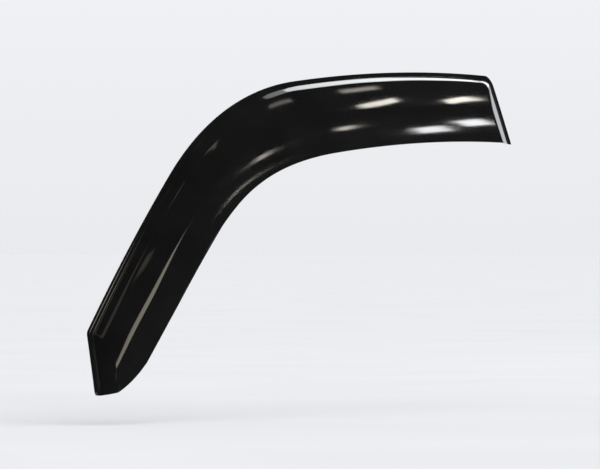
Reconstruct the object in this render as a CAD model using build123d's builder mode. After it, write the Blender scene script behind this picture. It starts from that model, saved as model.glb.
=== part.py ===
"""Window rain deflector for the front left door of a mid-size car.

A thin smoked visor follows the top of the door window from the pillar behind the door, forward along the
roof and down the windscreen pillar. A flat flange carries foam tape that sticks to the door frame. Inside
the flange the visor steps out, slopes away from the door to a ridge and ends in a free lip, so that air
can pass between the lip and the glass. Millimetres, +X rearward, +Y towards the car, +Z up.
"""

import os
from math import asin, atan2, cos, degrees, pi, radians, sin, sqrt, tan

from build123d import *

# Outside of the door frame: it leans in towards the roof, barrels with height and bows along the car
door_lean = 20.2
barrel_radius = 2900.0
bow_radius = 7000.0
bow_crest = 150.0

# Upper edge of the visor in the side view, from the rear end forward and down the pillar
rear_end = 201.0
roof_crest = 113.0
roof_radius = 3050.0
roof_length = 410.0
corner_radius = 545.0
corner_turn = 30.5
pillar_radius = 2130.0
pillar_length = 252.0

# Width of the visor in the side view, and the nose that closes it at the foot of the pillar
roof_width = 78.5
pillar_width = 67.0
nose_start = 61.0
nose_length = 145.0
nose_trim = 30.0
front_rake = 7.0

# Section of the visor, with heights measured out from the door frame
wall = 3.0
flange_width = 6.5
end_flange = 6.0
step_run = 7.5
step_height = 11.0
lip_width = 31.0
rear_lip_height = 22.0
front_lip_height = 17.0
ridge_rise = 2.0

# Draft of the two end walls, and the roundings on the inside of the sheet and round its flange
rear_draft = 68.0
front_draft = 30.0
ridge_radius = 15.0
rim_radius = 5.0
end_radius = 3.0
lip_radius = 1.3
rear_corner_radius = 12.0
front_corner_radius = 6.0
tip_radius = 4.0

# Foam tape on the back of the flange
tape_thickness = 1.0
tape_width = 6.0
tape_margin = 1.0
tape_gap = 6.0
tape_setback = 14.0

# How far the rough forms reach past the finished edges before they are trimmed
rear_overrun = 40.0
front_overrun = 110.0
side_overrun = 25.0
lip_overrun = 8.0
prism_reach = 250.0

# Sections drawn along each arc
roof_sections = 4
corner_sections = 5
pillar_sections = 4

flange_top = tape_thickness + wall
tape_middle = tape_margin + tape_width / 2
crest_drop = roof_radius - sqrt(roof_radius**2 - roof_crest**2)
roof_centre = tape_middle + crest_drop - roof_radius


def upper_edge(inset, behind=0.0, ahead=0.0):
    """Roof, corner and pillar arcs of the upper edge, set in from it and run past its two ends."""
    tilt = asin((rear_end + behind - roof_crest) / roof_radius)
    reach = roof_radius - inset
    start = (roof_crest + reach * sin(tilt), roof_centre + reach * cos(tilt))
    roof = JernArc(start, (-cos(tilt), sin(tilt)), reach, degrees((roof_length + behind) / roof_radius))
    corner = JernArc(roof @ 1, roof % 1, corner_radius - inset, corner_turn)
    pillar_turn = degrees((pillar_length + ahead) / pillar_radius)
    pillar = JernArc(corner @ 1, corner % 1, pillar_radius - inset, pillar_turn)
    return roof, corner, pillar


edge_line = upper_edge(0, rear_overrun, front_overrun)
roof_line, corner_line, pillar_line = edge_line
front_share = pillar_length / (pillar_length + front_overrun)
nose_share = (pillar_length - nose_start) / (pillar_length + front_overrun)
front_top = pillar_line @ front_share
rear_top = roof_line @ (rear_overrun / (roof_length + rear_overrun))


def square_to(line, share):
    """Direction in the side view from the upper edge towards the lower one."""
    along = line % share
    return Vector(-along.Y, along.X)


def width_at(line, share):
    """Side-view width, which eases from the roof's to the pillar's round the corner."""
    if line is roof_line:
        return roof_width
    if line is pillar_line:
        return pillar_width
    return roof_width + (pillar_width - roof_width) * (1 - cos(pi * share)) / 2


def lip_height_at(line, share):
    """Height of the lip, which falls from the start of the corner to the front end."""
    if line is roof_line:
        return rear_lip_height
    corner_length = corner_line.length
    run = corner_length * share if line is corner_line else corner_length + pillar_line.length * share
    fall = (rear_lip_height - front_lip_height) / (corner_length + pillar_length)
    return rear_lip_height - fall * run


def door(place):
    """Point on the outside of the door frame at a place in the side view."""
    bow = ((place.X - bow_crest) ** 2 - bow_crest**2) / (2 * bow_radius)
    return Vector(place.X, tan(radians(door_lean)) * place.Y + place.Y**2 / (2 * barrel_radius) + bow, place.Y)


def door_normal(place):
    """Direction square to the door frame, away from the car."""
    slope = tan(radians(door_lean)) + place.Y / barrel_radius
    return Vector((place.X - bow_crest) / bow_radius, -1, slope).normalized()


# Places along the edge where the section is drawn
stations = [(roof_line, count / roof_sections) for count in range(roof_sections + 1)]
stations += [(corner_line, (count + 1) / corner_sections) for count in range(corner_sections)]
stations += [(pillar_line, (count + 1) / pillar_sections) for count in range(pillar_sections)]


def section_plane(line, share):
    """Plane across the visor, with x along the door from the upper edge and y out from the door."""
    head = line @ share
    foot = head + square_to(line, share) * width_at(line, share)
    across = door(foot) - door(head)
    normal = across.cross(door_normal((head + foot) / 2))
    return Plane(origin=door(head), x_dir=across, z_dir=normal), across.length


def set_in(corner, before, after, inset):
    """Corner of the section moved in by a distance, between the slopes before and after it."""
    middle = (before + after) / 2
    return corner + Vector(sin(middle), -cos(middle)) * (inset / cos((before - after) / 2))


def skin_sections(inset, floor):
    """Sections under the outer skin, or under the skin set in by the wall, down to a level floor."""
    faces = []
    step_slope = atan2(step_height - flange_top, step_run)
    lip_slope = -atan2(ridge_rise, lip_width)
    for line, share in stations:
        plane, width = section_plane(line, share)
        step = Vector(flange_width + step_run, step_height)
        ridge = Vector(width - lip_width, lip_height_at(line, share) + ridge_rise)
        panel_slope = atan2(ridge.Y - step.Y, ridge.X - step.X)
        step = set_in(step, step_slope, panel_slope, inset)
        ridge = set_in(ridge, panel_slope, lip_slope, inset)
        foot = step - Vector(1, tan(step_slope)) * ((step.Y - floor) / tan(step_slope))
        lip_end = ridge + Vector(1, tan(lip_slope)) * (lip_width + side_overrun)
        with BuildSketch(plane) as section:
            with BuildLine():
                Polyline(foot, step, ridge, lip_end, (lip_end.X, floor), close=True)
            make_face()
            fillet(section.vertices().sort_by(Axis.X)[2], ridge_radius + wall - inset)
            fillet(section.vertices().sort_by(Axis.X)[1], rim_radius + wall - inset)
        faces.append(section.sketch)
    return faces


def layer_sections(bottom, top):
    """Sections of a sheet that lies along the door between two heights."""
    faces = []
    for line, share in stations:
        plane, width = section_plane(line, share)
        with BuildSketch(plane) as section:
            with BuildLine():
                Polyline(
                    (-side_overrun, bottom),
                    (width + side_overrun, bottom),
                    (width + side_overrun, top),
                    (-side_overrun, top),
                    close=True,
                )
            make_face()
        faces.append(section.sketch)
    return faces


def outline(drop):
    """Side-view outline, let down past the lower edge, with rough ends."""
    upper = upper_edge(0, rear_overrun / 2, front_overrun / 2)
    nose_centre = pillar_line @ nose_share
    nose_along = pillar_line % nose_share
    lower = [nose_centre + square_to(pillar_line, nose_share) * (pillar_width + drop)]
    for line, share in reversed(stations[1:]):
        if line is not pillar_line:
            lower.append(line @ share + square_to(line, share) * (width_at(line, share) + drop))
    rear_share = rear_overrun / 2 / (roof_length + rear_overrun)
    lower.append(roof_line @ rear_share + square_to(roof_line, rear_share) * (roof_width + drop))
    with BuildSketch() as side:
        with BuildLine():
            add(upper)
            nose = EllipticalCenterArc(
                nose_centre,
                nose_length + drop,
                pillar_width + drop,
                start_angle=nose_trim,
                arc_size=90 - nose_trim,
                rotation=degrees(atan2(nose_along.Y, nose_along.X)),
            )
            Line(upper[2] @ 1, nose @ 0)
            lower_edge = Spline(lower, tangents=(nose_along * -1, (roof_line % rear_share) * -1))
            Line(lower_edge @ 1, upper[0] @ 0)
        make_face()
    return side.sketch


def end_plane(start, end, set_back, draft):
    """Plane of an end wall along a side-view line, leaning inwards with height by the draft."""
    run = door(end) - door(start)
    out = door_normal((start + end) / 2)
    ahead = run.cross(out).normalized()
    normal = ahead * cos(radians(draft)) + out * sin(radians(draft))
    return Plane(origin=door(start) + out * flange_top - ahead * set_back, z_dir=normal)


front_foot = front_top + Vector(-sin(radians(front_rake)), -cos(radians(front_rake))) * pillar_width
rear_foot = rear_top - Vector(0, roof_width)
rear_plane = end_plane(rear_foot, rear_top, end_flange, rear_draft)
front_plane = end_plane(front_top, front_foot, end_flange, front_draft)

car_side = Plane.XZ.offset(-prism_reach)


def outer_faces(form):
    """Curved faces of a form that look away from the car."""
    return form.faces().filter_by(GeomType.BSPLINE).filter_by(lambda face: face.normal_at().Y < 0)


def raised_form(inset, floor, drop):
    """Solid under the skin, closed by the two end walls and rounded along them."""
    sections = skin_sections(inset, floor)
    side = outline(drop)
    with BuildPart() as form:
        loft(sections)
        with BuildSketch(car_side):
            add(side)
        extrude(amount=2 * prism_reach, mode=Mode.INTERSECT)
        split(bisect_by=rear_plane.offset(-inset), keep=Keep.BOTTOM)
        split(bisect_by=front_plane.offset(-inset), keep=Keep.BOTTOM)
        end_faces = form.faces().filter_by(GeomType.PLANE)
        fillet(outer_faces(form).edges() & end_faces.edges(), end_radius + wall - inset)
    return form.part


# Raised body of the visor, still solid, with the outer edge of its lip rounded
body_form = raised_form(0, tape_thickness + wall / 2, 0)
with BuildPart() as body:
    add(body_form)
    fillet(outer_faces(body).edges() & body.faces().filter_by(GeomType.EXTRUSION).edges(), lip_radius)

# Visor: a flange all round, the body on it and the hollow behind, open to the door and at the lip
hollow_form = raised_form(wall, 0, lip_overrun)
flange_sections = layer_sections(tape_thickness, flange_top)
flange_outline = outline(0)
with BuildPart() as visor:
    loft(flange_sections)
    with BuildSketch(car_side) as flange:
        add(flange_outline)
        with Locations(rear_top):
            Rectangle(prism_reach, prism_reach, align=(Align.MIN, Align.CENTER), mode=Mode.SUBTRACT)
        with Locations(front_top):
            Rectangle(
                prism_reach,
                2 * prism_reach,
                rotation=-front_rake,
                align=(Align.MAX, Align.CENTER),
                mode=Mode.SUBTRACT,
            )
        fillet(flange.vertices().group_by(Axis.X)[-1].sort_by(Axis.Y)[-1], rear_corner_radius)
        fillet(flange.vertices().sort_by(Axis.X)[1], front_corner_radius)
        fillet(flange.vertices().sort_by(Axis.X)[0], tip_radius)
    extrude(amount=2 * prism_reach, mode=Mode.INTERSECT)
    add(body.part)
    add(hollow_form, mode=Mode.SUBTRACT)

visor.part.label = "visor"
os.makedirs("parts", exist_ok=True)
export_step(visor.part, "parts/visor.step")


# Foam tape in three lengths on the back of the flange, following its edge
tape_sections = layer_sections(0, tape_thickness)
tape_lines = upper_edge(tape_middle, -tape_setback, -tape_setback)


def tape_strip(line, start_gap, end_gap):
    """Strip of tape along a line, cut short at its two ends."""
    centre = line.trim(start_gap / line.length, 1 - end_gap / line.length)
    with BuildPart() as strip:
        loft(tape_sections)
        with BuildSketch(car_side):
            trace(centre, line_width=tape_width)
        extrude(amount=2 * prism_reach, mode=Mode.INTERSECT)
    return strip.part


roof_tape = tape_strip(tape_lines[0], 0, tape_gap / 2)
roof_tape.label = "roof_tape"
export_step(roof_tape, "parts/roof_tape.step")

corner_tape = tape_strip(tape_lines[1], tape_gap / 2, tape_gap / 2)
corner_tape.label = "corner_tape"
export_step(corner_tape, "parts/corner_tape.step")

pillar_tape = tape_strip(tape_lines[2], tape_gap / 2, 0)
pillar_tape.label = "pillar_tape"
export_step(pillar_tape, "parts/pillar_tape.step")
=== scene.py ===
"""Looks of a window rain deflector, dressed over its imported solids."""

import math

import bpy
import numpy as np
from mathutils import Matrix, Vector


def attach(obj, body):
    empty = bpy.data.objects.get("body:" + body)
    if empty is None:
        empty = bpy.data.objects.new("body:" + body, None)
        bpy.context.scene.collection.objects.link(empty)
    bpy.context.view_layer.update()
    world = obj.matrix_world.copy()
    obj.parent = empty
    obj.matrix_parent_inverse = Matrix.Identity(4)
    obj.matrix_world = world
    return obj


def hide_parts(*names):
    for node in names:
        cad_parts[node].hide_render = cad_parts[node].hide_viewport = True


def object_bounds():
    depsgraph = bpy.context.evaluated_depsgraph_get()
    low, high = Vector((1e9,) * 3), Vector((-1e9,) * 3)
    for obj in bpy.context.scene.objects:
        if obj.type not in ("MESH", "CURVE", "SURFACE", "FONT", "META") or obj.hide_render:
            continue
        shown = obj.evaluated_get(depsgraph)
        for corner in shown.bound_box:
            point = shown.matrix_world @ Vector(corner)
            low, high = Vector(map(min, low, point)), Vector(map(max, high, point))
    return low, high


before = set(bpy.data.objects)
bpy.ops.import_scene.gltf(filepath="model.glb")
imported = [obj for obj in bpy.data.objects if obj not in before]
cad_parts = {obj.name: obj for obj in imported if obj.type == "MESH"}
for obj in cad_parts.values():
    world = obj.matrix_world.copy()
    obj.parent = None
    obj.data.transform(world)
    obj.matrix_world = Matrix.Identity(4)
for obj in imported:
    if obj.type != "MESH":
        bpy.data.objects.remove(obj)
cad_low, cad_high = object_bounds()


# Visor: one sheet of smoked acrylic, heated, formed over a mould and trimmed along its edges.
# Its flange is taped down along the top and at both ends. Inside the flange the sheet steps out,
# rises slowly to a soft ridge and ends in a free lip. Sizes are in millimetres.

MM = 0.001

# The seat that the flange is taped to leans, and curves with height and along the visor
seat_lean = math.radians(20.2)
barrel_radius = 2900.0
bow_radius = 7000.0
bow_crest = 150.0

rear_end = 201.0
roof_crest = 113.0
roof_radius = 3050.0
roof_length = 410.0
corner_radius = 545.0
corner_turn = math.radians(30.5)
corner_length = corner_turn * corner_radius
pillar_radius = 2130.0
pillar_length = 252.0

roof_width = 78.5
pillar_width = 67.0
nose_start = 61.0
nose_length = 145.0
front_rake = math.radians(7.0)

wall = 3.0
tape_thickness = 1.0
tape_middle = 4.0
flange_top = tape_thickness + wall
flange_width = 6.5
end_flange = 6.0
step_run = 7.5
step_height = 11.0
lip_width = 31.0
rear_lip_height = 22.0
front_lip_height = 17.0
ridge_rise = 2.0
panel_crown = 0.5
lip_crown = 0.5
lip_reach = 38.0
wave_height = 0.06
wave_length = 110.0
rear_draft = math.radians(68.0)
front_draft = math.radians(30.0)

# Two faces run softly into each other where their heights come as near as this
rim_soft = 1.0
ridge_soft = 1.5
corner_soft = 8.0
front_soft = 5.0
foot_soft = 0.9
tip_soft = 5.0


def outward(angle):
    """Direction in the side view, straight out of the upper edge, at an angle from upright."""
    return np.stack([np.sin(angle), np.cos(angle)], axis=-1)


def forward(angle):
    """Direction in the side view, along the upper edge to the front, at an angle from upright."""
    return np.stack([-np.cos(angle), np.sin(angle)], axis=-1)


# Arcs of the upper edge in the side view: the angles from upright where they join, and centres
crest_drop = roof_radius - math.sqrt(roof_radius**2 - roof_crest**2)
rear_angle = math.asin((rear_end - roof_crest) / roof_radius)
roof_angle = rear_angle - roof_length / roof_radius
corner_angle = roof_angle - corner_turn
front_angle = corner_angle - pillar_length / pillar_radius
roof_centre = np.array([roof_crest, tape_middle + crest_drop - roof_radius])
corner_centre = roof_centre + (roof_radius - corner_radius) * outward(roof_angle)
pillar_centre = corner_centre + (corner_radius - pillar_radius) * outward(corner_angle)


def arc_at(angle):
    """Centre and radius of the upper edge's arc at an angle from upright."""
    on_roof = angle > roof_angle
    on_pillar = angle < corner_angle
    radius = np.where(on_roof, roof_radius, np.where(on_pillar, pillar_radius, corner_radius))
    off_roof = np.where(on_pillar[..., None], pillar_centre, corner_centre)
    return np.where(on_roof[..., None], roof_centre, off_roof), radius


def side_place(angle, set_in):
    """Place in the side view, a distance in from the upper edge."""
    centre, radius = arc_at(angle)
    return centre + outward(angle) * (radius - set_in)[..., None]


arc_tries = 3


def edge_place(place):
    """Angle along the upper edge, and distance in from it, of a place in the side view."""
    angle = np.full(place.shape[:-1], (roof_angle + corner_angle) / 2)
    for _ in range(arc_tries):
        from_centre = place - arc_at(angle)[0]
        angle = np.arctan2(from_centre[..., 0], from_centre[..., 1])
    centre, radius = arc_at(angle)
    return angle, radius - np.linalg.norm(place - centre, axis=-1)


def width_at(angle):
    """Width of the visor in the side view, easing round the corner."""
    share = np.clip((roof_angle - angle) / corner_turn, 0, 1)
    return roof_width + (pillar_width - roof_width) * (1 - np.cos(math.pi * share)) / 2


def run_past_roof(angle):
    """Run along the upper edge, past the end of its first arc."""
    on_corner = np.clip(roof_angle - angle, 0, corner_turn) * corner_radius
    return on_corner + np.clip(corner_angle - angle, 0, None) * pillar_radius


def lip_height_at(angle):
    """Height of the lip off the seat, falling from the corner to the front end."""
    fall = (rear_lip_height - front_lip_height) / (corner_length + pillar_length)
    return rear_lip_height - fall * run_past_roof(angle)


def wave_at(angle):
    """Slight unevenness along the panel, left by the forming."""
    run = (rear_angle - np.maximum(angle, roof_angle)) * roof_radius + run_past_roof(angle)
    return wave_height * np.sin(2 * math.pi * run / wave_length)


def seat_slopes(place):
    """Slopes of the seat along the visor and with height."""
    along = (place[..., 0] - bow_crest) / bow_radius
    up = math.tan(seat_lean) + place[..., 1] / barrel_radius
    return along, up


def seat_tilt(place, angle):
    """Rise of the seat across the visor, and the stretch that it gives the width."""
    along, up = seat_slopes(place)
    tilt = along * np.sin(angle) + up * np.cos(angle)
    return tilt, np.sqrt(1 + tilt**2)


# Front end: a raked line from the upper edge, met from below by the rounded nose
front_top = side_place(np.array(front_angle), np.array(0.0))
front_line = -outward(front_rake)
front_ahead = forward(front_rake)
nose_angle = front_angle + nose_start / pillar_radius
nose_centre = side_place(np.array(nose_angle), np.array(0.0))
nose_along = forward(nose_angle)
nose_across = -outward(nose_angle)


def blend_low(first, second, soft):
    """Lower of two heights, rounded where they cross."""
    near = np.clip(soft - np.abs(first - second), 0, None) / soft
    return np.minimum(first, second) - near**2 * soft / 4


def past_front(place):
    """True past the front line or outside the nose, with the tip between them rounded."""
    beyond_line = (place - front_top) @ front_ahead
    along = np.clip((place - nose_centre) @ nose_along, 0, None)
    across = (place - nose_centre) @ nose_across
    share = np.sqrt((along / nose_length) ** 2 + (across / pillar_width) ** 2)
    steepness = np.sqrt((along / nose_length**2) ** 2 + (across / pillar_width**2) ** 2) / share
    beyond_nose = (share - 1) / steepness
    return -blend_low(-beyond_line, -beyond_nose, tip_soft) > 0


def face_height(start, run, slope, depth):
    """Height of a sloping face at a run from its start, or of a face a depth below it."""
    return start + run * slope - depth * np.sqrt(1 + slope**2)


def arch(height, share):
    """Rise of a shallow arch at a share of its span."""
    return 4 * height * share * (1 - share)


def sheet_height(place, depth):
    """Height of the sheet's outer face off the seat, or of a face a depth below it."""
    angle, set_in = edge_place(place)
    stretch = seat_tilt(place, angle)[1]
    across = set_in * stretch
    step_place = flange_width + step_run
    ridge_place = width_at(angle) * stretch - lip_width
    ridge_height = lip_height_at(angle) + ridge_rise
    panel_span = ridge_place - step_place
    step_slope = (step_height - flange_top) / step_run
    panel_slope = (ridge_height - step_height) / panel_span
    lip_slope = -ridge_rise / lip_width
    rear_slope = 1 / math.tan(rear_draft)
    front_slope = 1 / math.tan(front_draft)
    past_step = across - step_place
    past_ridge = across - ridge_place
    rear_inside = rear_end - place[..., 0] - end_flange
    front_inside = -((place - front_top) @ front_ahead) - end_flange
    step = face_height(flange_top, across - flange_width, step_slope, depth)
    panel = face_height(step_height, past_step, panel_slope, depth)
    lip = face_height(ridge_height, past_ridge, lip_slope, depth)
    rear = face_height(flange_top, rear_inside, rear_slope, depth)
    front = face_height(flange_top, front_inside, front_slope, depth)
    panel += arch(panel_crown, past_step / panel_span) + wave_at(angle)
    lip += arch(lip_crown, past_ridge / lip_reach)
    walls = blend_low(step, rear, corner_soft)
    raised = blend_low(walls, blend_low(panel, lip, ridge_soft), rim_soft)
    raised = blend_low(raised, front, front_soft)
    return -blend_low(-raised, depth - flange_top, foot_soft)


foot_tries = 8


def sheet_points(places, depth):
    """Points of one face of the sheet, in metres, straight out from places in the side view."""
    foot = places
    for _ in range(foot_tries):
        height = sheet_height(foot, depth)
        along, up = seat_slopes(foot)
        lift = height / np.sqrt(1 + along**2 + up**2)
        foot = places - np.stack([along, up], axis=-1) * lift[..., None]
    x, z = foot[..., 0], foot[..., 1]
    seat = math.tan(seat_lean) * z + z**2 / (2 * barrel_radius)
    seat += ((x - bow_crest) ** 2 - bow_crest**2) / (2 * bow_radius)
    return np.stack([places[..., 0], seat - lift, places[..., 1]], axis=-1) * MM


def spaced(start, end, step):
    """Evenly spaced values from start up to, but not including, end."""
    count = max(1, round(abs(end - start) / step))
    return start + (end - start) * np.arange(count) / count


# Rows of the mesh run along the visor, close together over the step and the ridge. They are
# distances from the upper edge as far as the step's end, then shares of panel, ridge and lip
step_start = 3.0
step_end = 13.0
ridge_zone = 12.0
flange_spacing = 1.5
step_spacing = 0.6
panel_spacing = 0.08
ridge_spacing = 0.06
lip_spacing = 0.08
edge_rows = np.concatenate([
    spaced(0, step_start, flange_spacing),
    spaced(step_start, step_end, step_spacing),
])
panel_rows = spaced(0, 1, panel_spacing)
ridge_rows = spaced(0, 1, ridge_spacing)
lip_rows = np.append(spaced(0, 1, lip_spacing), 1)
row_count = len(edge_rows) + len(panel_rows) + len(ridge_rows) + len(lip_rows)


def ridge_set_in(angle):
    """Distance of the ridge from the upper edge, as the side view shows it."""
    width = width_at(angle)
    place = side_place(angle, width / 2)
    tilt, stretch = seat_tilt(place, angle)
    along, up = seat_slopes(place)
    lift = (lip_height_at(angle) + ridge_rise) / np.sqrt(1 + along**2 + up**2)
    return width - lip_width / stretch - tilt * lift


def row_set_in(row, angle):
    """Distance of a row from the upper edge at an angle."""
    if row < len(edge_rows):
        return np.full_like(angle, edge_rows[row])
    ridge_start = ridge_set_in(angle) - ridge_zone / 2
    ridge_end = ridge_start + ridge_zone
    row -= len(edge_rows)
    if row < len(panel_rows):
        return step_end + (ridge_start - step_end) * panel_rows[row]
    row -= len(panel_rows)
    if row < len(ridge_rows):
        return ridge_start + ridge_zone * ridge_rows[row]
    row -= len(ridge_rows)
    return ridge_end + (width_at(angle) - ridge_end) * lip_rows[row]


# Stations share out each row, close together towards the two ends, where the end walls are
end_zone = 60.0
end_spacing = 1.5
middle_spacing = 4.0
whole_run = roof_length + corner_length + pillar_length
stations = np.concatenate([
    spaced(0, end_zone, end_spacing),
    spaced(end_zone, whole_run - end_zone, middle_spacing),
    spaced(whole_run - end_zone, whole_run, end_spacing),
    [whole_run],
]) / whole_run


def angle_at(run):
    """Angle along the upper edge at a run from the rear end."""
    roof_part = np.minimum(run, roof_length) / roof_radius
    corner_part = np.clip(run - roof_length, 0, corner_length) / corner_radius
    pillar_part = np.clip(run - roof_length - corner_length, 0, None) / pillar_radius
    return rear_angle - roof_part - corner_part - pillar_part


rear_tries = 4
front_halvings = 40


def row_places(row):
    """Places of one row, from the rear end to the front line or the nose."""
    rear_run = 0.0
    for _ in range(rear_tries):
        set_in = row_set_in(row, angle_at(np.array(rear_run)))
        start_angle = math.asin((rear_end - roof_crest) / (roof_radius - set_in))
        rear_run = (rear_angle - start_angle) * roof_radius
    near, far = whole_run - 2 * nose_start, whole_run + nose_length
    for _ in range(front_halvings):
        middle = (near + far) / 2
        angle = angle_at(np.array(middle))
        if past_front(side_place(angle, row_set_in(row, angle))):
            far = middle
        else:
            near = middle
    angles = angle_at(rear_run + (near - rear_run) * stations)
    return side_place(angles, row_set_in(row, angles))


edge_tolerance = 1e-6


def round_corner(places, corner, first, second, reach):
    """Rounds a corner of the outline between two edges, given as directions away from it."""
    inside = np.linalg.inv(np.stack([first, second], axis=-1))
    shares = 1 - (places - corner) @ inside.T / reach
    near = np.all((shares > 0) & (shares < 1 + edge_tolerance), axis=-1)
    a, b = np.clip(shares[..., 0], 0, 1), np.clip(shares[..., 1], 0, 1)
    rounded = np.stack([a * np.sqrt(1 - b**2 / 2), b * np.sqrt(1 - a**2 / 2)], axis=-1)
    moved = corner + (1 - rounded) * reach @ np.stack([first, second])
    return np.where(near[..., None], moved, places)


rear_line = np.array([0.0, -1.0])
rear_corner_reach = 12.0
front_corner_reach = 3.0
places = np.stack([row_places(row) for row in range(row_count)])
rear_top = places[0, 0]
places = round_corner(places, rear_top, forward(rear_angle), rear_line, rear_corner_reach)
places = round_corner(places, front_top, -forward(front_angle), front_line, front_corner_reach)

outer = sheet_points(places, 0.0)
inner = sheet_points(places, wall)
side_count = row_count * len(stations)
numbers = np.arange(side_count).reshape(row_count, len(stations))


def quads(a, b, c, d):
    """Faces between four runs of vertex numbers."""
    return np.stack([a.ravel(), b.ravel(), c.ravel(), d.ravel()], axis=-1).tolist()


rim = np.concatenate([
    numbers[0, :-1], numbers[:-1, -1], numbers[-1, :0:-1], numbers[:0:-1, 0],
])
rim_next = np.roll(rim, -1)
points = np.concatenate([outer.reshape(-1, 3), inner.reshape(-1, 3)])
faces = quads(numbers[:-1, :-1], numbers[:-1, 1:], numbers[1:, 1:], numbers[1:, :-1])
faces += [[side_count + number for number in reversed(face)] for face in faces]
faces += quads(rim_next, rim, rim + side_count, rim_next + side_count)
visor_mesh = bpy.data.meshes.new("visor_sheet")
visor_mesh.from_pydata(points.tolist(), [], faces)
visor_mesh.validate()
visor = bpy.data.objects.new("visor_sheet", visor_mesh)
bpy.context.scene.collection.objects.link(visor)

# The trimmed edge all round is eased with a small radius, and the rest of the sheet is smooth
edge_radius = 0.7 * MM
edge_segments = 3
outer_rim = [tuple(sorted(pair)) for pair in zip(rim.tolist(), rim_next.tolist())]
rim_edges = set(outer_rim) | {(a + side_count, b + side_count) for a, b in outer_rim}
weights = visor_mesh.attributes.new("bevel_weight_edge", "FLOAT", "EDGE")
for edge in visor_mesh.edges:
    weights.data[edge.index].value = float(tuple(sorted(edge.vertices)) in rim_edges)
visor_mesh.shade_smooth()
ease = visor.modifiers.new("eased_edge", "BEVEL")
ease.limit_method = "WEIGHT"
ease.width = edge_radius
ease.segments = edge_segments

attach(visor, "root")
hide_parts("visor")


def noise(nodes, scale, detail, stretch=(1, 1, 1)):
    """Noise texture in the object's own coordinates, stretched along an axis where asked."""
    links = nodes.id_data.links
    coordinates = nodes.new("ShaderNodeTexCoord")
    mapping = nodes.new("ShaderNodeMapping")
    mapping.inputs["Scale"].default_value = stretch
    texture = nodes.new("ShaderNodeTexNoise")
    texture.inputs["Scale"].default_value = scale
    texture.inputs["Detail"].default_value = detail
    links.new(coordinates.outputs["Object"], mapping.inputs["Vector"])
    links.new(mapping.outputs["Vector"], texture.inputs["Vector"])
    return texture.outputs["Fac"]


def ramp(nodes, source, stops):
    """Colour ramp over a value, through places from 0 to 1 and their colours."""
    node = nodes.new("ShaderNodeValToRGB")
    elements = node.color_ramp.elements
    elements[0].position, elements[0].color = stops[0]
    elements[1].position, elements[1].color = stops[-1]
    for place, colour in stops[1:-1]:
        elements.new(place).color = colour
    nodes.id_data.links.new(source, node.inputs["Fac"])
    return node.outputs["Color"]


# Most of a noise texture's values lie between these two
noise_low = 0.3
noise_high = 0.7


def spread(nodes, source, low, high):
    """Noise spread between two limits."""
    node = nodes.new("ShaderNodeMapRange")
    node.inputs["From Min"].default_value = noise_low
    node.inputs["From Max"].default_value = noise_high
    node.inputs["To Min"].default_value = low
    node.inputs["To Max"].default_value = high
    nodes.id_data.links.new(source, node.inputs["Value"])
    return node.outputs["Result"]


def bumped(nodes, source, strength, distance):
    """Bump from a texture."""
    node = nodes.new("ShaderNodeBump")
    node.inputs["Strength"].default_value = strength
    node.inputs["Distance"].default_value = distance
    nodes.id_data.links.new(source, node.inputs["Height"])
    return node.outputs["Normal"]


# Smoked acrylic: nearly black and glossy, with a faint haze drawn across and a very fine grain
acrylic_index = 1.49
deep_smoke = (0.0048, 0.0044, 0.0042, 1)
pale_smoke = (0.0078, 0.0073, 0.0071, 1)
deep_smoke_below = 0.35
pale_smoke_above = 0.7
smoked_acrylic = bpy.data.materials.new("smoked_acrylic")
smoked_acrylic.use_nodes = True
nodes = smoked_acrylic.node_tree.nodes
links = smoked_acrylic.node_tree.links
gloss = nodes["Principled BSDF"]
gloss.inputs["IOR"].default_value = acrylic_index
tint = ramp(
    nodes,
    noise(nodes, scale=14, detail=3),
    [(deep_smoke_below, deep_smoke), (pale_smoke_above, pale_smoke)],
)
haze = spread(nodes, noise(nodes, scale=40, detail=4, stretch=(1, 1, 3)), low=0.045, high=0.06)
grain = bumped(nodes, noise(nodes, scale=1500, detail=2), strength=0.02, distance=0.1 * MM)
links.new(tint, gloss.inputs["Base Color"])
links.new(haze, gloss.inputs["Roughness"])
links.new(grain, gloss.inputs["Normal"])
visor_mesh.materials.append(smoked_acrylic)


# Foam tape: three lengths of double-sided acrylic foam, die-cut and pressed onto the back of
# the flange. It is dark grey and dull, with fine open cells along its cut sides.

dark_foam = (0.06, 0.06, 0.063, 1)
pale_foam = (0.11, 0.11, 0.116, 1)
foam_tape = bpy.data.materials.new("foam_tape")
foam_tape.use_nodes = True
nodes = foam_tape.node_tree.nodes
links = foam_tape.node_tree.links
foam = nodes["Principled BSDF"]
shade = ramp(
    nodes,
    noise(nodes, scale=900, detail=5),
    [(noise_low, dark_foam), (noise_high, pale_foam)],
)
dullness = spread(nodes, noise(nodes, scale=600, detail=3), low=0.7, high=0.92)
cells = bumped(nodes, noise(nodes, scale=1500, detail=4), strength=0.5, distance=0.2 * MM)
links.new(shade, foam.inputs["Base Color"])
links.new(dullness, foam.inputs["Roughness"])
links.new(cells, foam.inputs["Normal"])
for name in ("roof_tape", "corner_tape", "pillar_tape"):
    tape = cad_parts[name]
    tape.data.materials.clear()
    tape.data.materials.append(foam_tape)


# Studio: a wide pale floor under a plain white surround, paler overhead than at the horizon.
# The visor hangs a little above the floor, because it is made to be taped up, not to stand.
# Its gloss meets a dim room instead of the white, as when dark screens stand round a glossy thing.

floor_gap = 0.03
floor_half = 60.0
floor_level = cad_low.z - floor_gap
floor_mesh = bpy.data.meshes.new("floor")
floor_mesh.from_pydata(
    [
        (-floor_half, -floor_half, floor_level),
        (floor_half, -floor_half, floor_level),
        (floor_half, floor_half, floor_level),
        (-floor_half, floor_half, floor_level),
    ],
    [],
    [(0, 1, 2, 3)],
)
floor = bpy.data.objects.new("floor", floor_mesh)
bpy.context.scene.collection.objects.link(floor)

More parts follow.
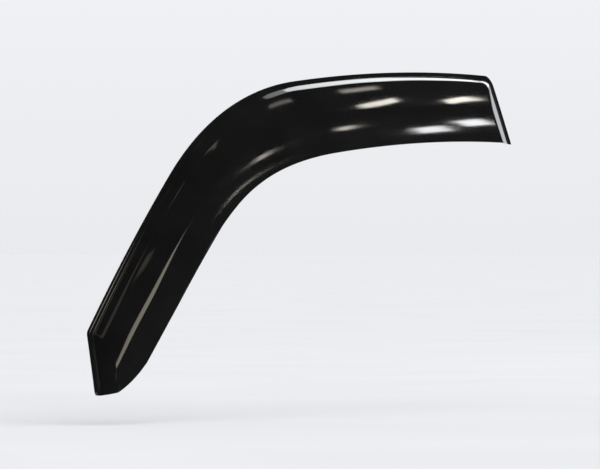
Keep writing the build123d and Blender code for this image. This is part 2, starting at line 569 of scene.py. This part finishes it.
grey_patch = (0.765, 0.77, 0.78, 1)
white_patch = (0.79, 0.795, 0.80, 1)
floor_roughness = 0.9
pale_floor = bpy.data.materials.new("pale_floor")
pale_floor.use_nodes = True
nodes = pale_floor.node_tree.nodes
matt = nodes["Principled BSDF"]
matt.inputs["Roughness"].default_value = floor_roughness
patches = ramp(
    nodes,
    noise(nodes, scale=3, detail=2),
    [(noise_low, grey_patch), (noise_high, white_patch)],
)
pale_floor.node_tree.links.new(patches, matt.inputs["Base Color"])
floor_mesh.materials.append(pale_floor)

# Colours of the white surround and of the dim room, by how far up one looks, from 0 to 1
white_surround = [
    (0.0, (0.815, 0.827, 0.85, 1)),
    (0.3, (1.155, 1.166, 1.19, 1)),
]
dim_screens = [
    (0.0, (0.70, 0.71, 0.73, 1)),
    (0.16, (0.045, 0.046, 0.05, 1)),
    (0.6, (0.022, 0.022, 0.024, 1)),
]
surround = bpy.data.worlds.new("surround")
surround.use_nodes = True
nodes = surround.node_tree.nodes
links = surround.node_tree.links
direction = nodes.new("ShaderNodeTexCoord")
parts = nodes.new("ShaderNodeSeparateXYZ")
white_room = nodes["Background"]
dim_room = nodes.new("ShaderNodeBackground")
light_path = nodes.new("ShaderNodeLightPath")
in_gloss = nodes.new("ShaderNodeMixShader")
links.new(direction.outputs["Generated"], parts.inputs["Vector"])
links.new(ramp(nodes, parts.outputs["Z"], white_surround), white_room.inputs["Color"])
links.new(ramp(nodes, parts.outputs["Z"], dim_screens), dim_room.inputs["Color"])
links.new(light_path.outputs["Is Glossy Ray"], in_gloss.inputs["Fac"])
links.new(white_room.outputs["Background"], in_gloss.inputs[1])
links.new(dim_room.outputs["Background"], in_gloss.inputs[2])
links.new(in_gloss.outputs["Shader"], nodes["World Output"].inputs["Surface"])
bpy.context.scene.world = surround
bpy.context.scene.view_settings.view_transform = "Standard"


# Lights: soft strips hung on stands round the visor, about four metres off or more. Each hangs
# where one part of the gloss mirrors it and shows there as a streak. They show only in gloss.

visor_middle = (cad_low + cad_high) / 2
warm = (1.0, 0.96, 0.86)
straw = (1.0, 0.94, 0.76)
white = (0.97, 0.985, 1.0)


def strip_light(name, start, end, width, brightness, colour):
    """Soft strip between two points, turned to the visor, as bright as asked whatever its size."""
    start, end = Vector(start), Vector(end)
    middle = (start + end) / 2
    length = (end - start).length
    along = (end - start).normalized()
    back = middle - visor_middle
    back = (back - along * back.dot(along)).normalized()
    across = back.cross(along)
    light = bpy.data.lights.new(name, "AREA")
    light.shape = "RECTANGLE"
    light.size = length
    light.size_y = width
    light.energy = brightness * math.pi * length * width
    light.color = colour
    strip = bpy.data.objects.new(name, light)
    strip.matrix_world = Matrix((
        (along.x, across.x, back.x, middle.x),
        (along.y, across.y, back.y, middle.y),
        (along.z, across.z, back.z, middle.z),
        (0, 0, 0, 1),
    ))
    strip.visible_camera = False
    strip.visible_diffuse = False
    bpy.context.scene.collection.objects.link(strip)


# For each strip: its name, its two ends and its width in metres, its brightness and its colour
strip_light("panel_strip_1", (2.47, -1.04, 2.67), (2.72, -0.86, 2.52), 0.05, 1.3, warm)
strip_light("panel_strip_2", (3.03, -0.60, 2.35), (3.16, -0.52, 2.28), 0.05, 2.5, warm)
strip_light("panel_strip_3", (3.08, -0.83, 2.22), (3.22, -0.68, 2.18), 0.06, 8.0, warm)
strip_light("panel_strip_4", (3.42, -0.62, 2.05), (3.56, -0.45, 1.99), 0.06, 8.0, warm)
strip_light("lip_strip_1", (2.77, -2.262, 0.94), (2.788, -2.283, 0.945), 0.045, 13.0, warm)
strip_light("lip_strip_2", (2.745, -2.238, 1.19), (2.765, -2.25, 1.135), 0.016, 14.0, warm)
strip_light("lip_strip_3", (3.035, -2.055, 1.205), (3.075, -2.01, 1.23), 0.05, 8.0, warm)
strip_light("lip_strip_4", (3.305, -1.96, 1.045), (3.41, -1.88, 1.055), 0.09, 11.0, white)
strip_light("lip_strip_5", (3.465, -1.82, 1.105), (3.56, -1.73, 1.13), 0.09, 11.0, white)
strip_light("rim_strip_1", (2.80, 0.77, 2.48), (3.61, 1.32, 1.51), 0.50, 3.5, white)
strip_light("rim_strip_2", (2.76, 0.92, 2.47), (2.42, 0.71, 2.82), 0.35, 1.0, white)
strip_light("rim_strip_3", (3.64, 1.18, 1.46), (3.97, 1.10, 0.74), 0.48, 2.6, white)
strip_light("rear_card", (4.10, 0.40, 0.40), (3.80, 1.80, 0.40), 0.90, 0.6, white)
strip_light("pillar_strip_1", (1.93, -2.62, 1.60), (1.41, -2.99, 1.53), 0.70, 3.0, straw)
strip_light("pillar_strip_2", (1.42, -1.33, 3.20), (1.68, -1.40, 3.05), 0.12, 1.0, straw)
strip_light("pillar_strip_3", (0.50, -1.15, 3.57), (0.66, -1.22, 3.52), 0.15, 0.9, straw)
strip_light("pillar_strip_4", (0.76, -2.31, 2.80), (0.81, -2.21, 2.88), 0.12, 0.6, straw)
strip_light("front_box", (-2.2, -1.8, 3.8), (0.2, -1.8, 3.8), 1.2, 0.45, warm)
strip_light("front_strip", (-2.6, -5.5, 2.2), (2.2, -5.5, 2.2), 0.35, 0.5, white)
strip_light("back_box", (-1.5, 4.5, 1.8), (1.2, 4.5, 1.8), 1.0, 1.0, white)


# Camera: stands where the photograph was taken from, about six metres off, ahead of the visor and
# to its side, and looks the same way. Its long lens lets the visor fill the frame, all of it sharp.

camera_lens = 324.0
camera_sensor = 36.0
camera_sight = 200.0
camera_place = Vector((-5.1462, -3.14885, -0.1853))
camera_forward = Vector((0.843582, 0.536999, 0.001388)).normalized()
camera_right = camera_forward.cross(Vector((0, 0, 1))).normalized()
camera_up = camera_right.cross(camera_forward)
camera = bpy.data.objects.new("camera", bpy.data.cameras.new("camera"))
camera.data.lens = camera_lens
camera.data.sensor_width = camera_sensor
camera.data.clip_end = camera_sight
camera.matrix_world = Matrix((
    (camera_right.x, camera_up.x, -camera_forward.x, camera_place.x),
    (camera_right.y, camera_up.y, -camera_forward.y, camera_place.y),
    (camera_right.z, camera_up.z, -camera_forward.z, camera_place.z),
    (0, 0, 0, 1),
))
bpy.context.scene.collection.objects.link(camera)
bpy.context.scene.camera = camera
